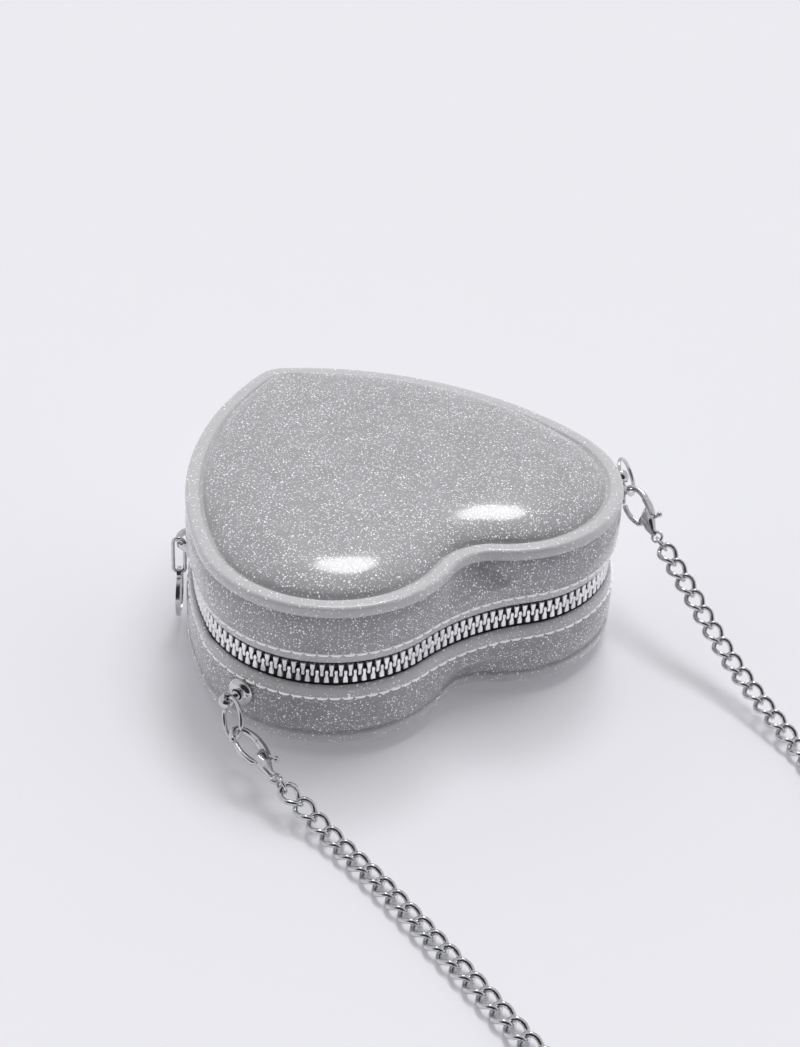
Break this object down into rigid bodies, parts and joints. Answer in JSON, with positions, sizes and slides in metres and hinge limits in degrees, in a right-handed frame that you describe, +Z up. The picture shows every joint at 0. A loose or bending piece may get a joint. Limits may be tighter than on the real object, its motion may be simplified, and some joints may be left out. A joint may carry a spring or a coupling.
{
  "type": "heart shaped purse",
  "caption": "Heart shaped hard case purse with a zipper round the side, a disc pull and a detachable chain strap on ring studs.",
  "frame": {"origin": "middle of the flat crown of the lower half, where the purse rests", "axes": "+Z up through the two halves, +Y from the tip to the cleft, +X to the side with the slider"},
  "size_m": [0.1991, 0.3124, 0.056],
  "materials": {
    "glitter_leather": "fine silver glitter under a clear coat, satin",
    "lining_fabric": "smooth grey lining",
    "zipper_tape": "woven black tape",
    "zipper_metal": "nickel plated, polished",
    "hardware_metal": "nickel plated, polished",
    "disc_enamel": "dark grey enamel in a polished border",
    "chain_metal": "polished, bright",
    "tie_fabric": "flat woven tie"
  },
  "bodies": {
    "lower_half": {"lower_shell": "glitter_leather", "lower_lining": "lining_fabric", "hinge_gusset": "glitter_leather", "lower_tape": "zipper_tape", "side_tapes": "zipper_tape", "lower_teeth": "zipper_metal", "side_teeth": "zipper_metal", "lower_top_stop": "zipper_metal", "bottom_stop": "zipper_metal", "lower_stud": "hardware_metal", "lower_stud_washer": "hardware_metal", "lower_stud_screw": "hardware_metal", "lower_claw": "hardware_metal", "lower_claw_pin": "hardware_metal", "lower_jump_ring": "hardware_metal", "lower_chain": "chain_metal", "upper_chain": "chain_metal", "stowed_chain": "chain_metal", "coil_tie": "tie_fabric"},
    "upper_half": {"upper_shell": "glitter_leather", "upper_lining": "lining_fabric", "upper_tape": "zipper_tape", "upper_teeth": "zipper_metal", "upper_top_stop": "zipper_metal", "upper_stud": "hardware_metal", "upper_stud_washer": "hardware_metal", "upper_stud_screw": "hardware_metal", "upper_claw": "hardware_metal", "upper_claw_pin": "hardware_metal", "upper_jump_ring": "hardware_metal"},
    "zip_slider": {"zip_slider": "zipper_metal"},
    "pull_ring": {"pull_ring": "zipper_metal"},
    "pull_disc": {"pull_disc": "disc_enamel"},
    "lower_ring": {"lower_ring": "hardware_metal"},
    "upper_ring": {"upper_ring": "hardware_metal"},
    "lower_lever": {"lower_lever": "hardware_metal"},
    "upper_lever": {"upper_lever": "hardware_metal"}
  },
  "joints": [
    {"name": "lid_open", "type": "hinge", "parent": "lower_half", "child": "upper_half", "pos_m": [0, -0.061, 0.028], "axis": [1, 0, 0], "range_deg": [0, 60], "deforming": ["hinge_gusset", "side_tapes", "side_teeth", "upper_chain", "bottom_stop"]},
    {"name": "slider_travel", "type": "hinge", "parent": "lower_half", "child": "zip_slider", "pos_m": [-0.03979, 0.03632, 0.028], "axis": [0, 0, 1], "range_deg": [0, 17], "deforming": ["side_tapes", "side_teeth"]},
    {"name": "pull_ring_swing", "type": "hinge", "parent": "zip_slider", "child": "pull_ring", "pos_m": [0.05324, -0.01922, 0.028], "axis": [-0.5299, -0.848, 0], "range_deg": [-2, 85]},
    {"name": "pull_disc_swing", "type": "hinge", "parent": "pull_ring", "child": "pull_disc", "pos_m": [0.05324, -0.01922, 0.01776], "axis": [0.848, -0.5299, 0], "range_deg": [-45, 45]},
    {"name": "lower_ring_swing", "type": "hinge", "parent": "lower_half", "child": "lower_ring", "pos_m": [0.06839, 0.0392, 0.0165], "axis": [-0.1458, 0.3797, 0.9135], "range_deg": [-1, 1]},
    {"name": "upper_ring_swing", "type": "hinge", "parent": "upper_half", "child": "upper_ring", "pos_m": [-0.07102, 0.02846, 0.0407], "axis": [-0.0757, -0.6648, 0.7431], "range_deg": [-3, 3]},
    {"name": "lower_lever_press", "type": "hinge", "parent": "lower_half", "child": "lower_lever", "pos_m": [0.06829, 0.06066, 0.01125], "axis": [0.1807, -0.1809, -0.9668], "range_deg": [0, 12], "stiffness_Nm_per_rad": 0.003, "springref_deg": -17.19},
    {"name": "upper_lever_press", "type": "hinge", "parent": "upper_half", "child": "upper_lever", "pos_m": [-0.07354, 0.04104, 0.03169], "axis": [-0.7005, -0.1993, -0.6853], "range_deg": [0, 12], "stiffness_Nm_per_rad": 0.003, "springref_deg": -17.19}
  ]
}
